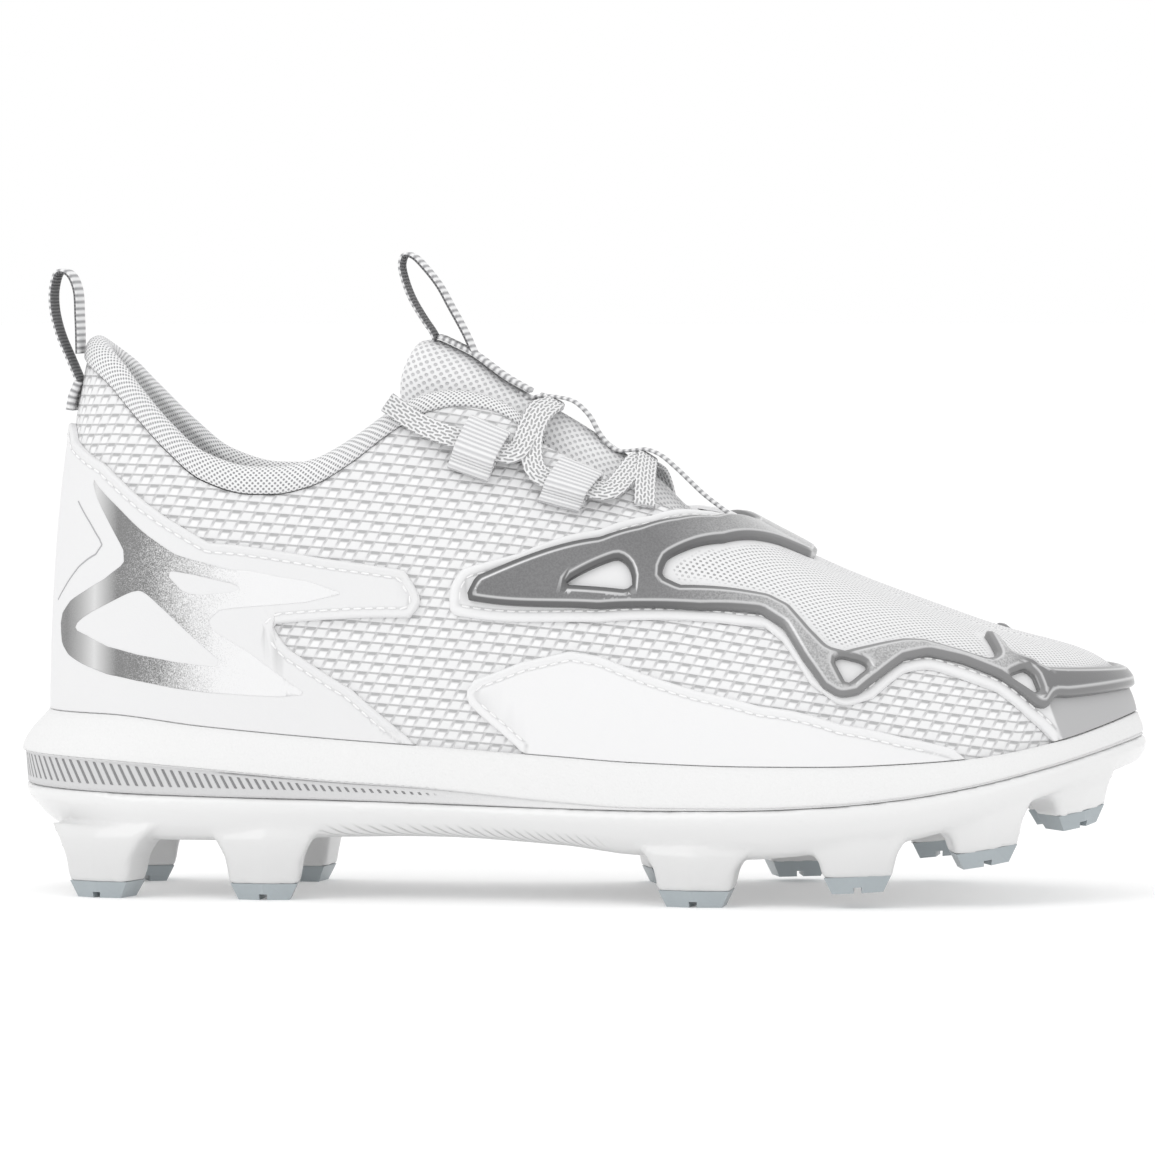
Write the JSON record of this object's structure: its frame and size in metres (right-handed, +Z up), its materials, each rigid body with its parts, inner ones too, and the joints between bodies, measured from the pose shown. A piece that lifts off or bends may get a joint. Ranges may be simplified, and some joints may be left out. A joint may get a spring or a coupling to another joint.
{
  "type": "baseball cleat",
  "caption": "Low right baseball shoe with moulded studs, padded collar, tongue with pull loop, flat laces in webbing keepers and a raised moulded frame round the forefoot.",
  "frame": {"origin": "middle of the bounding box's base, on the ground plane", "axes": "+X from heel to toe, +Y towards the medial (inner) side of the right foot, +Z up"},
  "size_m": [0.2572, 0.0918, 0.1457],
  "materials": {
    "knit": "woven-block knit, white",
    "collar_mesh": "padded spacer mesh, white",
    "tongue_mesh": "speckled mesh, white and light grey",
    "insole_fabric": "smooth lining cloth, pale grey",
    "midsole_foam": "moulded foam, fine stipple, white",
    "plate": "moulded thermoplastic, white",
    "stud_tip": "moulded thermoplastic, blue-grey",
    "silver_frame": "moulded, silver",
    "counter_film": "printed film, silver to white",
    "vamp_film": "perforated film, white",
    "panel_film": "stitched film, white",
    "webbing": "ribbed webbing, white outside and grey inside",
    "lace": "flat chevron braid, white"
  },
  "bodies": {
    "root": {"collar": "collar_mesh", "heel_counter": "counter_film", "heel_loop": "webbing", "insole": "insole_fabric", "keeper_front_lateral": "webbing", "keeper_front_medial": "webbing", "keeper_rear_lateral": "webbing", "keeper_rear_medial": "webbing", "laces": "lace", "midsole": "midsole_foam", "moulded_frame": "silver_frame", "outsole_plate": "plate", "side_panel_lateral": "panel_film", "side_panel_medial": "panel_film", "tip_ball_lateral": "stud_tip", "tip_ball_medial": "stud_tip", "tip_heel_front_lateral": "stud_tip", "tip_heel_front_medial": "stud_tip", "tip_heel_rear_lateral": "stud_tip", "tip_heel_rear_medial": "stud_tip", "tip_toe_front_lateral": "stud_tip", "tip_toe_front_medial": "stud_tip", "tip_toe_side_lateral": "stud_tip", "tip_toe_side_medial": "stud_tip", "tip_tread_lateral": "stud_tip", "tip_tread_medial": "stud_tip", "tongue": "tongue_mesh", "tongue_loop": "webbing", "upper": "knit", "vamp_overlay": "vamp_film"}
  },
  "joints": []
}
